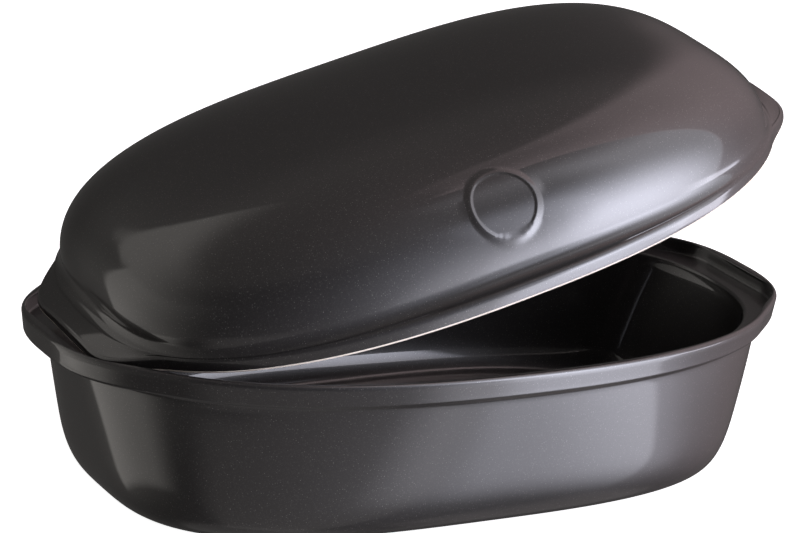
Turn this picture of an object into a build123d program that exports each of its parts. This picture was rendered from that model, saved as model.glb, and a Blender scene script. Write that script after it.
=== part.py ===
from build123d import *
import math
import os

# Oval bread cloche in glazed stoneware: a deep baking dish and a domed lid that stands tilted open in its seat.
# The origin is at the middle of the dish's underside, +Z is up and +X runs along the dish.

# Dish, outside
rim_length = 352.0             # of the plain oval that the rim follows between the end lips
rim_width = 216.0
rim_height = 79.0
rim_band = 10.8                # height of the band that stands proud of the wall
rim_overhang = 5.3             # how far the band stands out from the wall
lip_reach = 6.5                # how far each end lip stands out from the rim's oval
lip_crown = 6.0                # half width over which an end lip keeps its full reach
lip_root = 66.0                # half width at which an end lip has died into the oval
shoulder_end_draw = 16.0       # from the rim in to where the wall starts to turn under, at the ends
shoulder_side_draw = 13.3      # the same at the sides
shoulder_height = 29.0
turn_under = 17.0              # how far the wall draws in from the shoulder to the foot
wall_thickness = 6.4
floor_thickness = 7.5

# Seat for the lid
ridge_end_width = 3.8          # of the rim beside the lid, at the ends
ridge_side_width = 3.5         # the same at the sides
seat_depth = 7.0               # from the top of the rim down to the seat
seat_play = 0.8                # all round between the lid's flange and the rim
lid_rest_gap = 0.3             # under the closed lid

# Lid
flange_thickness = 8.0
grip_reach = 5.2               # how far each end grip stands out from the flange's oval
grip_crown = 22.0              # half width over which a grip keeps its full reach
grip_root = 54.0               # half width at which a grip has died into the oval
ledge_end_width = 9.5          # of the flange beside the dome, at the ends
ledge_side_width = 9.8         # the same at the sides
lid_height = 57.0
dome_foot = 6.0                # where the dome's side stands upright
skirt_height = 14.0            # where the sweep from flange to dome ends
lid_wall = 6.0

# Round pad on the lid's front
pad_diameter = 30.0
pad_rise = 0.9
pad_place = 0.0                # along the lid from its middle

# Rounded edges
rim_outer_round = 1.5
rim_inner_round = 0.8
band_under_round = 2.0
cove_round = 2.6
cavity_edge_round = 1.6
flange_top_round = 2.4
flange_foot_round = 1.4
lid_mouth_round = 1.2
pad_round = 0.6
overrun = 1.0                  # how far cutting bodies pass the faces they cut

# How square each oval is, 2 being an ellipse
rim_square_share = 2.38
shoulder_square_share = 2.85
flange_square_share = 2.43
dome_square_share = 3.2
dome_profile_share = 2.8
flange_flat_share = 0.3        # of the way from flange edge to dome before the sweep begins
pad_height_share = 0.344       # of the quarter turn up the dome's profile
crown_reach_share = 0.985      # of that quarter turn, where the dome closes with a small flat

# How the lid stands open
open_angle = 16.1
hinge_heading = -72.0          # of the hinge line in plan, from +X
hinge_rise = 25.0              # of the hinge line above the flange's underside
hinge_inset = 2.2              # of the hinge line inside the flange's outermost tangent

slab_point_count = 96
loft_point_count = 48
corner_step_count = 8
wall_step_count = 8
dome_step_count = 12
skirt_step_count = 4

dish_length = rim_length + 2 * lip_reach
shoulder_length = rim_length - 2 * shoulder_end_draw
shoulder_width = rim_width - 2 * shoulder_side_draw
flange_length = rim_length - 2 * (ridge_end_width + seat_play)
flange_width = rim_width - 2 * (ridge_side_width + seat_play)
grip_length = flange_length + 2 * grip_reach
dome_length = flange_length - 2 * ledge_end_width
dome_width = flange_width - 2 * ledge_side_width
seat_height = rim_height - seat_depth
lid_base = seat_height + lid_rest_gap


def oval_points(length, width, square_share, reach=0.0, crown=0.0, root=0.0, count=loft_point_count):
    """Points round an oval that may reach further at its two ends, over a crown that dies out at a root."""
    points = []
    for step in range(count):
        turn = math.tau * step / count
        along, across = math.cos(turn), math.sin(turn)
        size = (abs(along) ** square_share + abs(across) ** square_share) ** (-1 / square_share)
        x = length / 2 * along * size
        y = width / 2 * across * size
        if reach > length:
            ramp = min(max((root - abs(y)) / (root - crown), 0.0), 1.0)
            swell = ramp * ramp * (3 - 2 * ramp)
            x += math.copysign((reach / 2 - abs(x)) * swell, along) if swell else 0
        points.append((x, y))
    return points


def oval_face(points, height):
    """A flat face inside a smooth closed curve through the points, at a height."""
    raised = [(x, y, height) for x, y in points]
    return Face(Wire([Edge.make_spline([Vector(*point) for point in raised], periodic=True)]))


def oval_slab(points, bottom, top):
    """An upright slab with an oval outline."""
    return Solid.extrude(oval_face(points, bottom), Vector(0, 0, top - bottom))


def stacked(faces):
    """One smooth solid through a stack of oval faces."""
    return Part() + loft(faces)


def mix(start, end, share):
    """A value part of the way from one to another."""
    return start + (end - start) * share


def rim_points(inset=0.0):
    """The rim's outline, moved in by an inset."""
    return oval_points(rim_length - 2 * inset, rim_width - 2 * inset, rim_square_share,
                       dish_length - 2 * inset, lip_crown, lip_root, slab_point_count)


def flange_points(outset=0.0):
    """The lid flange's outline, moved out by an outset."""
    return oval_points(flange_length + 2 * outset, flange_width + 2 * outset, flange_square_share,
                       grip_length + 2 * outset, grip_crown, grip_root, slab_point_count)


def dish_sections(thickness, bottom, top):
    """Oval faces up the dish's wall, moved in by a thickness, turning under into the floor."""
    faces = []
    for step in range(corner_step_count + 1):
        turn = math.pi / 2 * step / corner_step_count
        inset = 2 * (thickness + turn_under * (1 - math.sin(turn)))
        height = mix(bottom, shoulder_height, 1 - math.cos(turn))
        outline = oval_points(shoulder_length - inset, shoulder_width - inset, shoulder_square_share)
        faces.append(oval_face(outline, height))
    brow = rim_height - rim_band
    for step in range(1, wall_step_count + 1):
        height = mix(shoulder_height, top, step / wall_step_count)
        share = (height - shoulder_height) / (brow - shoulder_height)
        length = mix(shoulder_length, rim_length - 2 * rim_overhang, share)
        width = mix(shoulder_width, rim_width - 2 * rim_overhang, share)
        square_share = mix(shoulder_square_share, rim_square_share, share)
        outline = oval_points(length - 2 * thickness, width - 2 * thickness, square_share)
        faces.append(oval_face(outline, height))
    return faces


def rounded(shape, edges, radius):
    """A shape with some of its edges rounded."""
    return fillet(ShapeList(edges), radius) if edges else shape


def edges_at(shape, height, longest=1, shortest=0):
    """The edges that lie flat at a height, longest first."""
    tolerance = rim_outer_round / 100
    level = [edge for edge in shape.edges()
             if abs(edge.bounding_box().min.Z - height) < tolerance
             and abs(edge.bounding_box().max.Z - height) < tolerance]
    level.sort(key=lambda edge: -edge.length)
    return level[shortest:longest]


def make_rim():
    """The band that stands proud of the wall, with its end lips and rounded edges."""
    brow = rim_height - rim_band
    rim = Part() + oval_slab(rim_points(), brow, rim_height)
    rim = rounded(rim, edges_at(rim, brow), band_under_round)
    return rounded(rim, edges_at(rim, rim_height), rim_outer_round)


def make_dish():
    """The baking dish: turned-under walls, a proud rim band with end lips, and a seat inside the rim."""
    body = stacked(dish_sections(0, 0, seat_height)) + make_rim()
    body = rounded(body, edges_at(body, rim_height - rim_band, longest=2, shortest=1), cove_round)
    body -= oval_slab(flange_points(seat_play), seat_height, rim_height + overrun)
    body -= stacked(dish_sections(wall_thickness, floor_thickness, seat_height + overrun))
    body = rounded(body, edges_at(body, rim_height, longest=2, shortest=1), rim_inner_round)
    return rounded(body, edges_at(body, seat_height, longest=2, shortest=1), cavity_edge_round)


def dome_station(turn, growth=0.0):
    """Length, width and height of the dome where its profile has turned by an angle, grown by a thickness."""
    draw = math.cos(turn) ** (2 / dome_profile_share)
    climb = math.sin(turn) ** (2 / dome_profile_share)
    length = (dome_length + 2 * growth) * draw
    width = (dome_width + 2 * growth) * draw
    return length, width, dome_foot + (lid_height - dome_foot + growth) * climb


def dome_sections(first_turn, growth=0.0):
    """Oval faces up the dome, from an angle of its profile to near its crown."""
    last_turn = math.pi / 2 * crown_reach_share
    faces = []
    for step in range(dome_step_count + 1):
        length, width, height = dome_station(mix(first_turn, last_turn, step / dome_step_count), growth)
        faces.append(oval_face(oval_points(length, width, dome_square_share), height))
    return faces


def skirt_turn():
    """The angle of the dome's profile at the height where the skirt ends."""
    climb = (skirt_height - dome_foot) / (lid_height - dome_foot)
    return math.asin(climb ** (dome_profile_share / 2))


def skirt_face(share, height):
    """An oval face part of the way from the flange's outline to the dome's side."""
    dome_side_length, dome_side_width, _ = dome_station(skirt_turn())
    outline = oval_points(mix(flange_length, dome_side_length, share), mix(flange_width, dome_side_width, share),
                          mix(flange_square_share, dome_square_share, share))
    return oval_face(outline, height)


def skirt_sections():
    """Oval faces that sweep from inside the flange up towards the dome's side."""
    faces = [skirt_face(flange_flat_share, flange_thickness - flange_foot_round)]
    for step in range(1, skirt_step_count):
        turn = math.pi / 2 * step / skirt_step_count
        share = mix(flange_flat_share, 1, math.sin(turn))
        faces.append(skirt_face(share, mix(flange_thickness, skirt_height, 1 - math.cos(turn))))
    return faces


def pad_plane():
    """The plane that touches the dome's front where the round pad sits, its normal pointing out."""
    turn = math.pi / 2 * pad_height_share
    spread = math.pi / 2 / dome_step_count
    below, above = dome_station(turn - spread), dome_station(turn + spread)
    place = dome_station(turn)
    run = (below[1] - above[1]) / 2
    rise = above[2] - below[2]
    return Plane(origin=(pad_place, -place[1] / 2, place[2]), x_dir=(1, 0, 0), z_dir=(0, -rise, run))


def make_pad():
    """A low round pad that follows the dome's front."""
    swollen = stacked(dome_sections(skirt_turn(), pad_rise))
    reach = pad_diameter / 2
    pad = swollen & (pad_plane() * Cylinder(reach, 2 * lid_wall))
    outline = pad.edges().sort_by(Axis.Y)[0]
    return rounded(pad, [outline], pad_round)


def make_flange():
    """The lid's flange with its end grips and rounded edges."""
    flange = Part() + oval_slab(flange_points(), 0, flange_thickness)
    flange = rounded(flange, edges_at(flange, flange_thickness), flange_top_round)
    return rounded(flange, edges_at(flange, 0), flange_foot_round)


def make_closed_lid():
    """The lid in its closed place: flange, skirt, dome and pad over a hollow."""
    lid = make_flange() + stacked(skirt_sections() + dome_sections(skirt_turn())) + make_pad()
    mouth = oval_points(dome_length - 2 * lid_wall, dome_width - 2 * lid_wall, dome_square_share)
    lid -= stacked([oval_face(mouth, -overrun)] + dome_sections(0, -lid_wall))
    lid = rounded(lid, edges_at(lid, 0, longest=2, shortest=1), lid_mouth_round)
    return Pos(0, 0, lid_base) * lid


def hinge_line():
    """The line that the lid tips about, along the lowest tangent of its flange."""
    heading = math.radians(hinge_heading)
    direction = (math.cos(heading), math.sin(heading), 0)
    rise_x, rise_y = -direction[1], direction[0]
    nearest = min(x * rise_x + y * rise_y for x, y in flange_points()) + hinge_inset
    return Axis((nearest * rise_x, nearest * rise_y, lid_base + hinge_rise), direction)


def main():
    """Writes one STEP file for each piece."""
    os.makedirs("parts", exist_ok=True)
    hinge = hinge_line()
    dish = make_dish()
    lid = make_closed_lid().rotate(hinge, open_angle)
    export_step(dish, "parts/base_dish.step")
    export_step(lid, "parts/domed_lid.step")
    print("hinge through", [round(value, 3) for value in hinge.position], "along",
          [round(value, 5) for value in hinge.direction])


main()
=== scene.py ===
import logging
import math
from collections.abc import Iterable
from dataclasses import dataclass, field, replace
from enum import IntEnum

import bmesh
import bpy
from mathutils import Matrix, Vector


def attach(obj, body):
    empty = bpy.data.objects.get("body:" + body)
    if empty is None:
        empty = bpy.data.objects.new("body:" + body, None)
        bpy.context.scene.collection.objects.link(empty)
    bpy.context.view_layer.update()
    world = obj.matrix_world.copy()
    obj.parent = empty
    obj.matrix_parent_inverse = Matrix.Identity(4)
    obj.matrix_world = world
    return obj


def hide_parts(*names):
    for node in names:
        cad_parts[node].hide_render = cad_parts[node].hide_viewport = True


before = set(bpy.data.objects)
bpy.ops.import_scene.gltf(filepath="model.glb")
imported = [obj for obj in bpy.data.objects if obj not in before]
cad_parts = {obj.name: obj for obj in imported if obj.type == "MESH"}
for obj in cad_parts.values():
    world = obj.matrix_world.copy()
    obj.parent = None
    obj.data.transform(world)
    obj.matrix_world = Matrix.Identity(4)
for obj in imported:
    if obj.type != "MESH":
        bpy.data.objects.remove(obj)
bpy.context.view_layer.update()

MM = 0.001
QUARTER_TURN = math.pi / 2
log = logging.getLogger("bread_cloche")


class Zone(IntEnum):
    """The surface a face belongs to, which is also its place in the piece's list of materials."""

    GLAZE = 0
    BARE_CLAY = 1


@dataclass(frozen=True)
class Oval:
    """A squared oval in plan, in metres, that may reach further at its two ends.

    The reach holds over a crown and dies out at a root, both half widths.
    """

    length: float
    width: float
    square: float
    reach: float = 0.0
    crown: float = 0.0
    root: float = 0.0

    def at(self, turn: float) -> tuple[float, float]:
        """Finds the point of the outline at an angle.

        Args:
            turn: The angle round the oval, in radians from +X.

        Returns:
            The point's x and y.
        """
        along, across = math.cos(turn), math.sin(turn)
        size = (abs(along) ** self.square + abs(across) ** self.square) ** (-1 / self.square)
        x = self.length / 2 * along * size
        y = self.width / 2 * across * size
        if self.reach > self.length:
            swell = eased((self.root - abs(y)) / (self.root - self.crown))
            x += math.copysign((self.reach / 2 - abs(x)) * swell, along)
        return x, y

    def moved_out(self, depth: float) -> "Oval":
        """Returns the oval moved out by a depth, or in where the depth is negative."""
        reach = self.reach + 2 * depth if self.reach else 0.0
        return replace(self, length=self.length + 2 * depth, width=self.width + 2 * depth,
                       reach=reach)

    def scaled(self, share: float) -> "Oval":
        """Returns the plain oval drawn in to a share of its size."""
        return Oval(self.length * share, self.width * share, self.square)

    def mixed(self, other: "Oval", share: float) -> "Oval":
        """Returns the plain oval part of the way to another one."""
        return Oval(mix(self.length, other.length, share),
                    mix(self.width, other.width, share),
                    mix(self.square, other.square, share))


@dataclass(frozen=True)
class Ring:
    """One ring of a skin: its outline, its height, and the zone of the faces that lead to it.

    The slope is how steeply the ring falls where the outline's ends reach out.
    """

    oval: Oval
    height: float
    zone: Zone = Zone.GLAZE
    slope: float = 0.0


def mix(start: float, end: float, share: float) -> float:
    """Returns the value part of the way from start to end."""
    return start + (end - start) * share


def eased(share: float) -> float:
    """Returns a share held between 0 and 1 and eased at both ends."""
    held = min(max(share, 0.0), 1.0)
    return held * held * (3 - 2 * held)


def steps(count: int, first: int = 1) -> Iterable[float]:
    """Yields even shares from first / count up to 1."""
    return (step / count for step in range(first, count + 1))


def rounded_turn(count: int, first: int = 0) -> Iterable[tuple[float, float]]:
    """Yields the sine and cosine along a quarter turn in even steps."""
    turns = (QUARTER_TURN * share for share in steps(count, first))
    return ((math.sin(turn), math.cos(turn)) for turn in turns)


def turns_round(count: int, dense_at: float = 0.0, dense_span: float = 0.0,
                dense_count: int = 0) -> list[float]:
    """Spreads angles round a ring, evenly or with one span where they stand closer together.

    Args:
        count: How many angles the rest of the ring has.
        dense_at: The middle of the closer span, in radians.
        dense_span: The closer span's width, in radians.
        dense_count: How many angles the closer span has.

    Returns:
        The angles in rising order, a full turn in all.
    """
    start = dense_at - dense_span / 2
    close = [start + dense_span * step / dense_count for step in range(dense_count)]
    rest = math.tau - dense_span
    return close + [start + dense_span + rest * step / count for step in range(count)]


class Skin:
    """A closed skin of fired clay that grows ring by ring from one pole to the other."""

    def __init__(self, turns: list[float]) -> None:
        """Starts with an empty mesh.

        Args:
            turns: The angles that every ring's points stand at.
        """
        self.mesh = bmesh.new()
        self.turns = turns
        self.edge: list[bmesh.types.BMVert] = []

    def place(self, ring: Ring) -> None:
        """Moves the open edge's points on to a ring.

        Args:
            ring: The ring.
        """
        plain = replace(ring.oval, reach=0.0)
        for vert, turn in zip(self.edge, self.turns):
            x, y = ring.oval.at(turn)
            reached = abs(x) - abs(plain.at(turn)[0])
            vert.co = (x, y, ring.height - ring.slope * reached)

    def start(self, ring: Ring) -> None:
        """Starts the skin with a ring, closed by a fan to its pole.

        Args:
            ring: The first ring.
        """
        made = bmesh.ops.create_circle(self.mesh, cap_ends=True, cap_tris=True,
                                       segments=len(self.turns), radius=1)
        pole = max(made["verts"], key=lambda vert: len(vert.link_edges))
        pole.co = (0, 0, ring.height)
        self.edge = sorted((vert for vert in made["verts"] if vert is not pole), key=turn_of)
        self.place(ring)

    def extrude(self, zone: Zone) -> list[bmesh.types.BMVert]:
        """Extrudes the open edge into one more row of faces.

        Args:
            zone: The new faces' zone.

        Returns:
            The new points, in no order of their own.
        """
        pairs = zip(self.edge, self.edge[1:] + self.edge[:1])
        edges = [self.mesh.edges.get(pair) for pair in pairs]
        grown = bmesh.ops.extrude_edge_only(self.mesh, edges=edges)["geom"]
        for item in grown:
            if isinstance(item, bmesh.types.BMFace):
                item.material_index = zone
        return [item for item in grown if isinstance(item, bmesh.types.BMVert)]

    def grow(self, rings: Iterable[Ring]) -> list[bmesh.types.BMVert]:
        """Grows the skin through more rings.

        Args:
            rings: The rings in order.

        Returns:
            The points of all the new rings.
        """
        made = []
        for ring in rings:
            fresh = set(self.extrude(ring.zone))
            joined = ((edge.other_vert(vert) for edge in vert.link_edges) for vert in self.edge)
            self.edge = [next(vert for vert in others if vert in fresh) for others in joined]
            self.place(ring)
            made += self.edge
        return made

    def finish(self) -> None:
        """Closes the skin with a fan to its last pole."""
        pole = (0, 0, self.edge[0].co.z)
        bmesh.ops.pointmerge(self.mesh, verts=self.extrude(Zone.GLAZE), merge_co=pole)


def turn_of(vert: bmesh.types.BMVert) -> float:
    """Returns a point's angle round the Z axis, from 0 to a full turn."""
    return math.atan2(vert.co.y, vert.co.x) % math.tau


def add_node(tree: bpy.types.NodeTree, kind: str, inputs: dict[str | int, object] | None = None,
             **settings: object) -> bpy.types.Node:
    """Adds a node with its settings and links.

    Args:
        tree: The node tree.
        kind: The node's type name.
        inputs: Values or output sockets for its inputs, by name or number.
        **settings: Values for the node's own properties.

    Returns:
        The new node.
    """
    node = tree.nodes.new(kind)
    for name, value in settings.items():
        setattr(node, name, value)
    for name, value in (inputs or {}).items():
        if isinstance(value, bpy.types.NodeSocket):
            tree.links.new(value, node.inputs[name])
        else:
            node.inputs[name].default_value = value
    return node


def linear(hex_colour: str) -> tuple[float, float, float, float]:
    """Turns an sRGB hex colour into linear red, green, blue and a full alpha."""
    values = [int(hex_colour[start:start + 2], 16) / 255 for start in (1, 3, 5)]
    return *(v / 12.92 if v <= 0.04045 else ((v + 0.055) / 1.055) ** 2.4 for v in values), 1.0


def per_metre(size_mm: float) -> float:
    """Returns the texture scale whose cells are a size in millimetres."""
    return 1 / (size_mm * MM)


@dataclass(frozen=True)
class StonewareGlaze:
    """Charcoal stoneware glaze, sprayed on and fired glossy.

    Glass over a dark, slightly brown body: sharp reflections over a soft glow, with fine pale flecks
    where grains of the clay show through, and a slight ripple where the spray has pooled.
    """

    name: str
    body: str = "#1d1c1c"
    body_warm: str = "#211e1e"
    fleck: str = "#8f8a86"
    cloud_mm: float = 70.0
    cloud_detail: float = 3.0
    # The real flecks and grains are too fine to show, so both are drawn as coarse as they need to show.
    fleck_mm: float = 1.0
    fleck_core: float = 0.096
    fleck_edge: float = 0.24
    fleck_rarity: float = 0.2
    fleck_strength: float = 0.55
    grain_mm: float = 0.6
    grain_detail: float = 2.0
    grain_low: float = 0.52
    grain_high: float = 0.8
    grain_strength: float = 0.1
    ripple_mm: float = 16.0
    ripple_detail: float = 1.0
    ripple_height_mm: float = 0.02
    roughness: float = 0.36
    coat_roughness: float = 0.04
    ior: float = 1.5

    def material(self) -> bpy.types.Material:
        """Builds the glaze as a node material.

        Returns:
            The new material.
        """
        material = bpy.data.materials.new(self.name)
        material.use_nodes = True
        tree = material.node_tree
        tree.nodes.clear()
        place = add_node(tree, "ShaderNodeTexCoord").outputs["Object"]
        cloud = add_node(tree, "ShaderNodeTexNoise", {
            "Vector": place, "Scale": per_metre(self.cloud_mm), "Detail": self.cloud_detail})
        body = add_node(tree, "ShaderNodeMix", {
            0: cloud.outputs["Fac"], 6: linear(self.body), 7: linear(self.body_warm)}, data_type="RGBA")
        cells = add_node(tree, "ShaderNodeTexVoronoi", {
            "Vector": place, "Scale": per_metre(self.fleck_mm)})
        dot = add_node(tree, "ShaderNodeMapRange", {
            "Value": cells.outputs["Distance"], "From Min": self.fleck_edge, "From Max": self.fleck_core})
        split = add_node(tree, "ShaderNodeSeparateColor", {0: cells.outputs["Color"]})
        chosen = add_node(tree, "ShaderNodeMapRange", {
            "Value": split.outputs[0], "From Min": self.fleck_rarity, "From Max": 1.0,
            "To Max": self.fleck_strength})
        fleck = add_node(tree, "ShaderNodeMath", {0: dot.outputs[0], 1: chosen.outputs[0]},
                         operation="MULTIPLY")
        grain = add_node(tree, "ShaderNodeTexNoise", {
            "Vector": place, "Scale": per_metre(self.grain_mm), "Detail": self.grain_detail})
        sand = add_node(tree, "ShaderNodeMapRange", {
            "Value": grain.outputs["Fac"], "From Min": self.grain_low, "From Max": self.grain_high,
            "To Max": self.grain_strength})
        pale = add_node(tree, "ShaderNodeMath", {0: fleck.outputs[0], 1: sand.outputs[0]},
                        operation="MAXIMUM")
        colour = add_node(tree, "ShaderNodeMix", {
            0: pale.outputs[0], 6: body.outputs[2], 7: linear(self.fleck)}, data_type="RGBA")
        ripple = add_node(tree, "ShaderNodeTexNoise", {
            "Vector": place, "Scale": per_metre(self.ripple_mm), "Detail": self.ripple_detail})
        bump = add_node(tree, "ShaderNodeBump", {
            "Height": ripple.outputs["Fac"], "Distance": self.ripple_height_mm * MM})
        shader = add_node(tree, "ShaderNodeBsdfPrincipled", {
            "Base Color": colour.outputs[2], "Roughness": self.roughness, "IOR": self.ior,
            "Coat Weight": 1.0, "Coat Roughness": self.coat_roughness, "Coat IOR": self.ior,
            "Normal": bump.outputs[0], "Coat Normal": bump.outputs[0]})
        add_node(tree, "ShaderNodeOutputMaterial", {"Surface": shader.outputs[0]})
        return material


@dataclass(frozen=True)
class BareClay:
    """Unglazed stoneware where the glaze is wiped off before firing: matt, cream, finely gritty, and
    lighter than the clay alone because painted bounce light from the table below is added to its colour.
    """

    name: str
    # Both clay colours are the cream of the bare clay made lighter with painted bounce light, which stands
    # in for the light the pale table throws up on to the bare foot.
    clay_and_painted_bounce: str = "#faf0e4"
    clay_dark_and_painted_bounce: str = "#eadccb"
    grit_mm: float = 0.9
    grit_detail: float = 4.0
    grit_height_mm: float = 0.05
    roughness: float = 0.85

    def material(self) -> bpy.types.Material:
        """Builds the clay as a node material.

        Returns:
            The new material.
        """
        material = bpy.data.materials.new(self.name)
        material.use_nodes = True
        tree = material.node_tree
        tree.nodes.clear()
        place = add_node(tree, "ShaderNodeTexCoord").outputs["Object"]
        grit = add_node(tree, "ShaderNodeTexNoise", {
            "Vector": place, "Scale": per_metre(self.grit_mm), "Detail": self.grit_detail})
        colour = add_node(tree, "ShaderNodeMix", {
            0: grit.outputs["Fac"], 6: linear(self.clay_dark_and_painted_bounce), 7: linear(self.clay_and_painted_bounce)}, data_type="RGBA")
        bump = add_node(tree, "ShaderNodeBump", {
            "Height": grit.outputs["Fac"], "Distance": self.grit_height_mm * MM})
        shader = add_node(tree, "ShaderNodeBsdfPrincipled", {
            "Base Color": colour.outputs[2], "Roughness": self.roughness, "Normal": bump.outputs[0]})
        add_node(tree, "ShaderNodeOutputMaterial", {"Surface": shader.outputs[0]})
        return material


@dataclass
class Piece:
    """A sub-assembly of the cloche that becomes one mesh object.

    In the classes made from it, a value that ends in rings counts the rings across a form, and one that
    ends in points counts the points round a ring.
    """

    name: str
    body: str
    node: str
    slot: str
    glaze: StonewareGlaze
    clay_and_painted_bounce: BareClay

    def dressed(self, mesh: bmesh.types.BMesh) -> bpy.types.Object:
        """Turns a finished mesh into the piece's object, with its materials and its place in the frame.

        Args:
            mesh: The finished mesh, in the row frame.

        Returns:
            The new object.
        """
        bmesh.ops.recalc_face_normals(mesh, faces=mesh.faces)
        for face in mesh.faces:
            face.smooth = True
        data = bpy.data.meshes.new(self.name)
        mesh.to_mesh(data)
        mesh.free()
        piece = bpy.data.objects.new(self.name, data)
        bpy.context.scene.collection.objects.link(piece)
        for finish in (self.glaze, self.clay_and_painted_bounce):
            data.materials.append(finish.material())
        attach(piece, self.body)
        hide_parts(self.node)
        log.info("%s: %d faces on body %s", self.name, len(data.polygons), self.body)
        return piece


@dataclass
class BakingDish(Piece):
    """The deep oval dish: foot, turned-under wall, proud rim band with end lips, and the lid's seat."""

    rim: Oval = Oval(352 * MM, 216 * MM, 2.38, 365 * MM, 6 * MM, 66 * MM)
    shoulder: Oval = Oval(320 * MM, 189.4 * MM, 2.85)
    pocket: Oval = Oval(344.4 * MM, 209 * MM, 2.43, 354.8 * MM, 24 * MM, 58 * MM)
    rim_height: float = 79 * MM
    band: float = 10.8 * MM
    overhang: float = 5.3 * MM
    shoulder_height: float = 29 * MM
    turn_under: float = 17 * MM
    corner_square: float = 3.0
    wall: float = 6.4 * MM
    floor: float = 7.5 * MM
    seat_depth: float = 7 * MM
    foot_ring: float = 9 * MM
    foot_lift: float = 0.8 * MM
    foot_round: float = 0.6 * MM
    outer_round: float = 1.5 * MM
    inner_round: float = 0.8 * MM
    under_round: float = 2 * MM
    band_taper: float = 1.1 * MM
    cove: float = 2.6 * MM
    seat_cove: float = 1.2 * MM
    cavity_round: float = 1.6 * MM
    pole_share: float = 0.02
    ring_points: int = 340
    panel_rings: int = 6
    floor_rings: int = 8
    wall_rings: int = 16
    corner_rings: int = 24
    inner_corner_rings: int = 20
    band_rings: int = 4
    flat_rings: int = 3
    round_rings: int = 8
    fine_round_rings: int = 6
    foot_round_rings: int = 4

    @property
    def brow(self) -> float:
        """The height of the band's underside."""
        return self.rim_height - self.band

    @property
    def seat(self) -> float:
        """The height of the seat."""
        return self.rim_height - self.seat_depth

    def wall_oval(self, height: float) -> Oval:
        """Works out the outer wall's outline, which leans outwards from the shoulder to the rim band.

        Args:
            height: The height on the wall, or on the line that carries it on past its ends.

        Returns:
            The outline.
        """
        top = replace(self.rim, reach=0.0).moved_out(-self.overhang)
        share = (height - self.shoulder_height) / (self.brow - self.shoulder_height)
        return self.shoulder.mixed(top, share)

    def corner(self, turn: float, bottom: float, depth: float) -> Ring:
        """Finds a ring of the turned-under corner, which leaves the wall along the wall's own lean.

        Args:
            turn: The angle of the turn, from 0 at the foot to a quarter turn at the shoulder.
            bottom: The height of the face that the corner turns into.
            depth: How far the ring is moved in.

        Returns:
            The ring.
        """
        up = 1 - math.cos(turn) ** (2 / self.corner_square)
        under = 1 - math.sin(turn) ** (2 / self.corner_square)
        foot = self.shoulder.moved_out(-self.turn_under)
        turned = self.wall_oval(bottom).mixed(foot, under / (1 - up)) if up < 1 else foot
        return Ring(turned.mixed(self.shoulder, up).moved_out(-depth),
                    mix(bottom, self.shoulder_height, up))

    def underside(self) -> Iterable[Ring]:
        """Shapes the raised panel and the bare foot ring.

        Returns:
            The rings, from the panel's middle outwards.
        """
        foot = self.shoulder.moved_out(-self.turn_under)
        panel = foot.moved_out(-self.foot_ring)
        for share in steps(self.panel_rings):
            yield Ring(panel.scaled(mix(self.pole_share, 1, share)), self.foot_lift)
        for sine, cosine in rounded_turn(self.foot_round_rings, 1):
            yield Ring(panel.moved_out(self.foot_round * sine),
                       self.foot_lift - self.foot_round * (1 - cosine), Zone.BARE_CLAY)
        for share in steps(self.flat_rings):
            yield Ring(panel.mixed(foot, share), 0.0, Zone.BARE_CLAY)

    def outside(self) -> Iterable[Ring]:
        """Shapes the outside: the turned-under corner, the wall, the cove and the rim band.

        Returns:
            The rings, from the foot up to the rim's outer edge.
        """
        for share in steps(self.corner_rings):
            yield self.corner(share * QUARTER_TURN, 0.0, 0.0)
        cove_foot = self.brow - self.cove
        for share in steps(self.wall_rings):
            height = mix(self.shoulder_height, cove_foot, share)
            yield Ring(self.wall_oval(height), height)
        for sine, cosine in rounded_turn(self.round_rings, 1):
            height = cove_foot + self.cove * sine
            yield Ring(self.wall_oval(height).moved_out(self.cove * (1 - cosine)), height)
        for sine, cosine in rounded_turn(self.round_rings):
            yield Ring(self.rim.moved_out(-self.band_taper - self.under_round * (1 - sine)),
                       self.brow + self.under_round * (1 - cosine))
        side_top = self.rim_height - self.outer_round
        for share in steps(self.band_rings):
            yield Ring(self.rim.moved_out(-self.band_taper * (1 - share)),
                       mix(self.brow + self.under_round, side_top, share))
        for sine, cosine in rounded_turn(self.round_rings, 1):
            yield Ring(self.rim.moved_out(-self.outer_round * (1 - cosine)),
                       side_top + self.outer_round * sine)

    def inside(self) -> Iterable[Ring]:
        """Shapes the inside: the pocket for the lid, the seat, the hollow and the floor.

        Returns:
            The rings, from the rim's crest down to the floor's middle.
        """
        for sine, cosine in rounded_turn(self.fine_round_rings):
            yield Ring(self.pocket.moved_out(self.inner_round * (1 - sine)),
                       self.rim_height - self.inner_round * (1 - cosine))
        pocket_top = self.rim_height - self.inner_round
        for share in steps(self.flat_rings):
            yield Ring(self.pocket, mix(pocket_top, self.seat + self.seat_cove, share))
        for sine, cosine in rounded_turn(self.fine_round_rings, 1):
            yield Ring(self.pocket.moved_out(-self.seat_cove * (1 - cosine)),
                       self.seat + self.seat_cove * (1 - sine))
        mouth = self.wall_oval(self.seat).moved_out(-self.wall)
        for sine, cosine in rounded_turn(self.round_rings):
            yield Ring(mouth.moved_out(self.cavity_round * (1 - sine)),
                       self.seat - self.cavity_round * (1 - cosine))
        for share in steps(self.wall_rings):
            height = mix(self.seat - self.cavity_round, self.shoulder_height, share)
            yield Ring(self.wall_oval(height).moved_out(-self.wall), height)
        for share in steps(self.inner_corner_rings):
            yield self.corner((1 - share) * QUARTER_TURN, self.floor, self.wall)
        rest = self.shoulder.moved_out(-self.turn_under - self.wall)
        for share in steps(self.floor_rings):
            yield Ring(rest.scaled(mix(1, self.pole_share, share)), self.floor)

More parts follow.
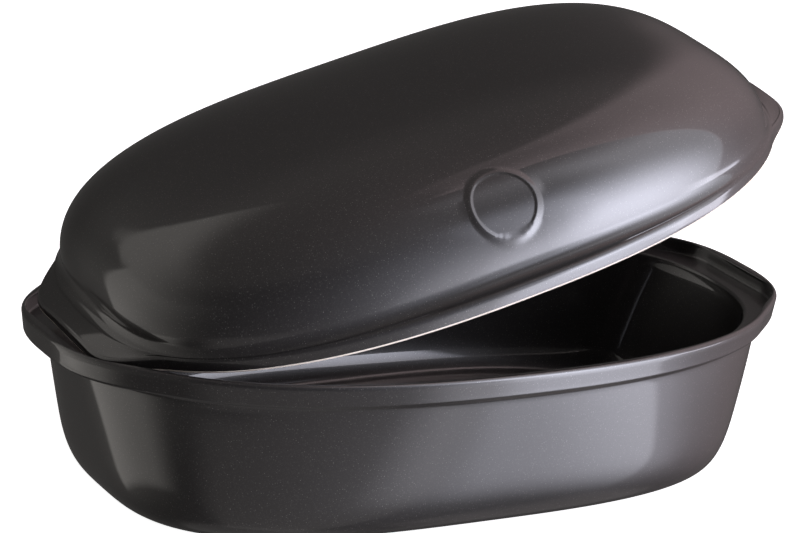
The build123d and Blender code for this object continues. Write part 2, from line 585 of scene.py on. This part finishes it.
    def build(self) -> bpy.types.Object:
        """Builds the dish's mesh and dresses it.

        Returns:
            The new object.
        """
        skin = Skin(turns_round(self.ring_points))
        panel = self.shoulder.moved_out(-self.turn_under - self.foot_ring)
        skin.start(Ring(panel.scaled(self.pole_share), self.foot_lift))
        skin.grow(self.underside())
        skin.grow(self.outside())
        skin.grow(self.inside())
        skin.finish()
        return self.dressed(skin.mesh)


@dataclass
class DomedLid(Piece):
    """The domed lid: crown, sides, sweep into the flange with its end grips, and the hollow under it."""

    flange: Oval = Oval(342.8 * MM, 207.4 * MM, 2.43, 353.2 * MM, 24 * MM, 58 * MM)
    dome: Oval = Oval(323.8 * MM, 187.8 * MM, 3.2)
    profile: float = 2.8
    height: float = 57 * MM
    dome_foot: float = 6 * MM
    thickness: float = 8 * MM
    skirt_height: float = 14 * MM
    flat_share: float = 0.3
    grip_slope: float = 0.46
    wall: float = 6 * MM
    top_round: float = 2.4 * MM
    foot_round: float = 1.4 * MM
    mouth_round: float = 1.2 * MM
    base: float = 72.3 * MM
    open_angle: float = math.radians(16.1)
    hinge_place: Vector = field(default_factory=lambda: Vector((-165.141, -53.658, 97.3)) * MM)
    hinge_heading: float = math.radians(-72)
    pad_radius: float = 15 * MM
    pad_crest: float = 0.42 * MM
    pad_field: float = 0.2 * MM
    pad_inner_width: float = 1.2 * MM
    pad_outer_width: float = 3.2 * MM
    pad_turn_share: float = 0.344
    pad_reach: float = math.radians(13)
    pad_span: float = math.radians(14)
    tangent_step: float = math.radians(5)
    crown_share: float = 0.97
    ring_points: int = 230
    pad_points: int = 110
    pad_rings: int = 96
    crown_rings: int = 48
    side_rings: int = 10
    sweep_rings: int = 14
    hollow_rings: int = 36
    mouth_rings: int = 4
    flat_rings: int = 3
    round_rings: int = 8
    fine_round_rings: int = 6

    def station(self, turn: float, growth: float = 0.0) -> Ring:
        """Finds one ring of the dome.

        Args:
            turn: How far round the dome's profile it is, from 0 at the foot to a quarter turn at the crown.
            growth: How far the dome is grown outwards, or inwards where it is negative.

        Returns:
            The ring.
        """
        draw = max(math.cos(turn), 0.0) ** (2 / self.profile)
        climb = math.sin(turn) ** (2 / self.profile)
        return Ring(self.dome.moved_out(growth).scaled(draw),
                    self.dome_foot + (self.height - self.dome_foot + growth) * climb)

    @property
    def skirt_turn(self) -> float:
        """The angle of the dome's profile at the top of the skirt."""
        climb = (self.skirt_height - self.dome_foot) / (self.height - self.dome_foot)
        return math.asin(climb ** (self.profile / 2))

    def skirt_ring(self, share: float, height: float) -> Ring:
        """Returns a ring part of the way from the flange's outline to the dome's side."""
        side = self.station(self.skirt_turn).oval
        return Ring(replace(self.flange, reach=0.0).mixed(side, share), height)

    def dome_turns(self) -> list[float]:
        """Spreads the dome's rings, which stand closer together across the pad.

        Returns:
            The angles round the profile, from the crown down to the skirt.
        """
        crown = QUARTER_TURN * self.crown_share
        top = QUARTER_TURN * self.pad_turn_share + self.pad_reach
        bottom = top - 2 * self.pad_reach
        above = [mix(crown, top, share) for share in steps(self.crown_rings)]
        across = [mix(top, bottom, share) for share in steps(self.pad_rings)]
        below = [mix(bottom, self.skirt_turn, share) for share in steps(self.side_rings)]
        return above + across + below

    def outside(self) -> Iterable[Ring]:
        """Shapes the sweep from the dome's side into the flange, and the flange's edge.

        Returns:
            The rings, from the skirt's top down to the flange's foot.
        """
        for share in steps(self.sweep_rings):
            turn = QUARTER_TURN * (1 - share)
            yield self.skirt_ring(mix(self.flat_share, 1, math.sin(turn)),
                                  mix(self.thickness, self.skirt_height, 1 - math.cos(turn)))
        for sine, cosine in rounded_turn(self.round_rings):
            yield Ring(self.flange.moved_out(-self.top_round * (1 - sine)),
                       self.thickness - self.top_round * (1 - cosine), slope=self.grip_slope)
        for share in steps(self.flat_rings):
            yield Ring(self.flange, mix(self.thickness - self.top_round, self.foot_round, share),
                       slope=self.grip_slope * (1 - share))
        for sine, cosine in rounded_turn(self.fine_round_rings, 1):
            yield Ring(self.flange.moved_out(-self.foot_round * (1 - cosine)),
                       self.foot_round * (1 - sine), Zone.BARE_CLAY)

    def inside(self) -> Iterable[Ring]:
        """Shapes the bare foot, the mouth's rounded edge and the hollow.

        Returns:
            The rings, from the flange's foot in to the mouth and up to the crown.
        """
        mouth = self.dome.moved_out(-self.wall)
        for sine, cosine in rounded_turn(self.fine_round_rings):
            yield Ring(mouth.moved_out(self.mouth_round * (1 - sine)),
                       self.mouth_round * (1 - cosine), Zone.BARE_CLAY)
        for share in steps(self.mouth_rings):
            yield Ring(mouth, mix(self.mouth_round, self.dome_foot, share))
        for share in steps(self.hollow_rings):
            yield self.station(QUARTER_TURN * self.crown_share * share, -self.wall)

    def pad_axis(self) -> tuple[Vector, Vector]:
        """Finds the round pad's place on the closed lid.

        Returns:
            The pad's middle, and the direction that it faces.
        """
        turn = QUARTER_TURN * self.pad_turn_share
        here = self.station(turn)
        low = self.station(turn - self.tangent_step)
        high = self.station(turn + self.tangent_step)
        run = (low.oval.width - high.oval.width) / 2
        rise = high.height - low.height
        return Vector((0, -here.oval.width / 2, here.height)), Vector((0, -rise, run)).normalized()

    def pad_rise(self, distance: float) -> float:
        """Works out how far the round pad stands off the dome.

        Args:
            distance: The distance from the pad's middle.

        Returns:
            The rise over the dome's own skin.
        """
        fall = eased((self.pad_radius - distance) / self.pad_inner_width)
        away = eased((distance - self.pad_radius) / self.pad_outer_width)
        return mix(self.pad_crest, self.pad_field, fall) * (1 - away)

    def raise_pad(self, points: Iterable[bmesh.types.BMVert]) -> None:
        """Raises the round pad's rim and field from the dome's skin.

        Args:
            points: The dome's points.
        """
        middle, facing = self.pad_axis()
        for point in points:
            offset = point.co - middle
            distance = (offset - facing * offset.dot(facing)).length
            if offset.dot(facing) > -self.pad_radius:
                point.co += facing * self.pad_rise(distance)

    def build(self) -> bpy.types.Object:
        """Builds the lid's mesh closed, tips it open and dresses it.

        Returns:
            The new object.
        """
        front = 3 * QUARTER_TURN
        skin = Skin(turns_round(self.ring_points, front, self.pad_span, self.pad_points))
        skin.start(self.station(QUARTER_TURN * self.crown_share))
        dome = skin.grow(self.station(turn) for turn in self.dome_turns())
        skin.grow(self.outside())
        skin.grow(self.inside())
        skin.finish()
        self.raise_pad(dome)
        bmesh.ops.translate(skin.mesh, verts=skin.mesh.verts, vec=(0, 0, self.base))
        hinge_line = Vector((math.cos(self.hinge_heading), math.sin(self.hinge_heading), 0))
        bmesh.ops.rotate(skin.mesh, verts=skin.mesh.verts, cent=self.hinge_place,
                         matrix=Matrix.Rotation(self.open_angle, 3, hinge_line))
        return self.dressed(skin.mesh)


def window(tree: bpy.types.NodeTree, angle: bpy.types.NodeSocket, edges: tuple[float, float],
           fades: tuple[float, float]) -> bpy.types.NodeSocket:
    """Cuts a soft-edged window out of an angle.

    Args:
        tree: The node tree.
        angle: The angle's socket, in degrees.
        edges: Where the window starts and ends.
        fades: How far inside each edge the light has come up.

    Returns:
        A socket that is 1 inside the window and 0 outside it.
    """
    start = add_node(tree, "ShaderNodeMapRange", {
        "Value": angle, "From Min": edges[0], "From Max": edges[0] + fades[0]},
        interpolation_type="SMOOTHSTEP")
    end = add_node(tree, "ShaderNodeMapRange", {
        "Value": angle, "From Min": edges[1], "From Max": edges[1] - fades[1]},
        interpolation_type="SMOOTHSTEP")
    return add_node(tree, "ShaderNodeMath", {0: start.outputs[0], 1: end.outputs[0]},
                    operation="MULTIPLY").outputs[0]


@dataclass(frozen=True)
class Panel:
    """A lit studio panel, given by the directions that it fills as the object sees it.

    Angles are in degrees. Headings run from -Y round towards +X, and heights from the horizon up. Each
    edge fades inwards over an angle of its own, and a wide fade makes a panel that is lit from one side.
    A lean moves the headings of a panel's upright edges by so many degrees for each degree of height.
    """

    headings: tuple[float, float]
    heights: tuple[float, float]
    light: float
    tint: str
    heading_fades: tuple[float, float] = (4.0, 4.0)
    height_fades: tuple[float, float] = (4.0, 4.0)
    lean: float = 0.0

    def added(self, tree: bpy.types.NodeTree, heading: bpy.types.NodeSocket,
              height: bpy.types.NodeSocket, base: bpy.types.NodeSocket) -> bpy.types.NodeSocket:
        """Adds the panel's light to what the room already has.

        Args:
            tree: The room's node tree.
            heading: The direction's heading, in degrees.
            height: The direction's height, in degrees.
            base: The colour of the light so far.

        Returns:
            The colour of the light with the panel.
        """
        turned = add_node(tree, "ShaderNodeMath", {0: height, 1: self.lean, 2: heading},
                          operation="MULTIPLY_ADD")
        across = window(tree, turned.outputs[0], self.headings, self.heading_fades)
        upright = window(tree, height, self.heights, self.height_fades)
        inside = add_node(tree, "ShaderNodeMath", {0: across, 1: upright}, operation="MULTIPLY")
        colour = Vector(linear(self.tint)[:3]) * self.light
        lit = add_node(tree, "ShaderNodeVectorMath", {0: colour, "Scale": inside.outputs[0]},
                       operation="SCALE")
        total = add_node(tree, "ShaderNodeVectorMath", {0: base, 1: lit.outputs[0]}, operation="ADD")
        return total.outputs[0]


@dataclass
class Studio:
    """The pale floor, the soft lit panels round the object and the camera."""

    floor_size: float = 12.0
    floor_colour: str = "#f7f7f7"
    floor_roughness: float = 0.9
    floor_glow: float = 1.0
    room_colour: str = "#fbf7f4"
    room_light: float = 0.07
    view_azimuth: float = math.radians(-30.0)
    view_elevation: float = math.radians(18.02)
    view_roll: float = math.radians(4.88)
    view_distance: float = 1.60705
    view_target: Vector = field(default_factory=lambda: Vector((-7.22, 0, 93.41)) * MM)
    lens: float = 159.58
    sensor: float = 36.0
    panels: tuple[Panel, ...] = (
        # The key light to the front right: its wide face, its bright core and the two strips under it.
        Panel((16, 63), (-51, 84), 2.3, "#f7f5ff", (18, 3), (23, 28)),
        Panel((22.6, 64), (-50, 54), 12.0, "#eceeff", (7, 34), (52, 72), 0.285),
        Panel((50, 80), (-41, -24), 0.4, "#f0f0ff", (14, 14), (8, 3)),
        Panel((46, 80), (-22, -8), 6.5, "#f0f0ff", (16, 6), (4, 3)),
        # The window to the left: its upper part, its lower part and the light under it.
        Panel((-127, -20), (17, 60), 0.58, "#fffaf4", (2, 100), (8, 16), 0.95),
        Panel((-144.9, -42), (-36.5, 25), 0.72, "#fffaf4", (2, 96), (10, 8), -0.1),
        Panel((-150, -68), (-42, -28), 0.72, "#fffaf4", (6, 30), (4, 3)),
        # The side light to the right, and its brighter upper part.
        Panel((60, 146), (-56, 84), 0.75, "#ffe4e8", (2, 96), (50, 2)),
        Panel((60, 146), (-5, 86), 0.7, "#ffe4e8", (2, 8), (60, 18)),
        # The ceiling, which closes all round.
        Panel((-181, 181), (37, 92), 0.1, "#fff6f0", (1, 1), (17, 1)),
        # What the table gives back: in front, to the right and straight down.
        Panel((-70, 30), (-76, -24), 0.22, "#fff8f4", (24, 6), (2, 6), 0.2),
        Panel((54, 125), (-66, -46), 0.24, "#fff4f4", (14, 30), (6, 6)),
        Panel((-181, 181), (-92, -66), 0.16, "#fffaf6", (1, 1), (1, 8)),
    )

    def build_floor(self) -> None:
        """Lays the plain pale floor under the dish, which the glaze doesn't mirror."""
        mesh = bmesh.new()
        bmesh.ops.create_grid(mesh, x_segments=1, y_segments=1, size=self.floor_size / 2)
        data = bpy.data.meshes.new("floor")
        mesh.to_mesh(data)
        mesh.free()
        floor = bpy.data.objects.new("floor", data)
        bpy.context.scene.collection.objects.link(floor)
        material = bpy.data.materials.new("matt_pale_floor")
        material.use_nodes = True
        shader = material.node_tree.nodes["Principled BSDF"]
        shader.inputs["Base Color"].default_value = linear(self.floor_colour)
        shader.inputs["Roughness"].default_value = self.floor_roughness
        shader.inputs["Emission Color"].default_value = linear(self.floor_colour)
        shader.inputs["Emission Strength"].default_value = self.floor_glow
        data.materials.append(material)
        floor.visible_glossy = False
        floor.visible_diffuse = False
        floor.visible_shadow = False

    def build_room(self) -> None:
        """Surrounds the object with a dim room and its lit panels."""
        world = bpy.data.worlds.new("studio_room")
        world.use_nodes = True
        tree = world.node_tree
        tree.nodes.clear()
        place = add_node(tree, "ShaderNodeTexCoord").outputs["Generated"]
        axes = add_node(tree, "ShaderNodeSeparateXYZ", {0: place})
        ahead = add_node(tree, "ShaderNodeMath", {0: axes.outputs["Y"], 1: -1.0}, operation="MULTIPLY")
        turn = add_node(tree, "ShaderNodeMath", {0: axes.outputs["X"], 1: ahead.outputs[0]},
                        operation="ARCTAN2")
        heading = add_node(tree, "ShaderNodeMath", {0: turn.outputs[0]}, operation="DEGREES")
        tilt = add_node(tree, "ShaderNodeMath", {0: axes.outputs["Z"]}, operation="ARCSINE")
        height = add_node(tree, "ShaderNodeMath", {0: tilt.outputs[0]}, operation="DEGREES")
        dim = add_node(tree, "ShaderNodeRGB")
        dim.outputs[0].default_value = Vector(linear(self.room_colour)) * self.room_light
        light = dim.outputs[0]
        for panel in self.panels:
            light = panel.added(tree, heading.outputs[0], height.outputs[0], light)
        background = add_node(tree, "ShaderNodeBackground", {"Color": light})
        add_node(tree, "ShaderNodeOutputWorld", {"Surface": background.outputs[0]})
        bpy.context.scene.world = world
        bpy.context.scene.view_settings.view_transform = "Standard"

    def build_camera(self) -> None:
        """Sets up the camera at the photograph's angle, rolled a little to one side."""
        azimuth, elevation = self.view_azimuth, self.view_elevation
        back = Vector((math.sin(azimuth) * math.cos(elevation),
                       -math.cos(azimuth) * math.cos(elevation),
                       math.sin(elevation)))
        right = Vector((math.cos(azimuth), math.sin(azimuth), 0))
        rise = back.cross(right)
        side = right * math.cos(self.view_roll) + rise * math.sin(self.view_roll)
        up = back.cross(side)
        data = bpy.data.cameras.new("photo_camera")
        data.lens = self.lens
        data.sensor_width = self.sensor
        camera = bpy.data.objects.new("photo_camera", data)
        bpy.context.scene.collection.objects.link(camera)
        turned = Matrix((side, up, back)).transposed().to_4x4()
        place = Matrix.Translation(self.view_target + back * self.view_distance)
        camera.matrix_world = place @ turned
        bpy.context.scene.camera = camera

    def build(self) -> None:
        """Builds the whole studio."""
        self.build_floor()
        self.build_room()
        self.build_camera()


def main() -> None:
    """Builds the cloche and its studio."""
    logging.basicConfig(level=logging.INFO)
    dish = BakingDish("baking_dish", "dish", "base_dish", "dish_glaze",
                      StonewareGlaze("dish_charcoal_glaze"), BareClay("dish_bare_stoneware_and_painted_bounce"))
    lid = DomedLid("lid_shell", "lid", "domed_lid", "lid_glaze",
                   StonewareGlaze("lid_charcoal_glaze"), BareClay("lid_bare_stoneware_and_painted_bounce"))
    for piece in (dish, lid):
        piece.build()
    Studio().build()


if __name__ == "__main__":
    main()
